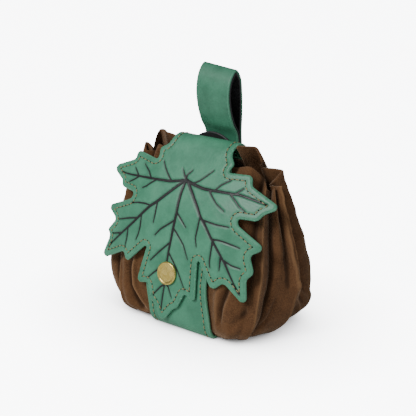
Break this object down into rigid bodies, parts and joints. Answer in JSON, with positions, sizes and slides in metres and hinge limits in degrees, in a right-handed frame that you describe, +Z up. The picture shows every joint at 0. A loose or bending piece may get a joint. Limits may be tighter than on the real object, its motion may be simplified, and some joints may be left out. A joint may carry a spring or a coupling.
{
  "type": "medieval belt pouch",
  "caption": "Gathered suede pouch on a leather centre band, closed by a stitched leaf-shaped flap with a brass snap, with a folded belt loop on top.",
  "frame": {"origin": "middle of the pouch's footprint, on the floor it stands on", "axes": "+Z up towards the belt loop, front with the leaf flap towards -Y, +X to the right seen from the front"},
  "size_m": [0.1486, 0.085, 0.1647],
  "materials": {
    "green_leather": "smooth green dyed leather with burnished edges",
    "black_leather": "matt black leather",
    "brown_suede": "soft brown suede with a short nap",
    "brass": "satin brass with a bright raised rim"
  },
  "bodies": {
    "root": {"centre_band": "green_leather", "suede_side_right": "brown_suede", "suede_side_left": "brown_suede", "leaf_flap": "green_leather", "snap_button": "brass", "anchor_tab": "black_leather", "belt_loop": "green_leather", "loop_lining": "black_leather"}
  },
  "joints": []
}
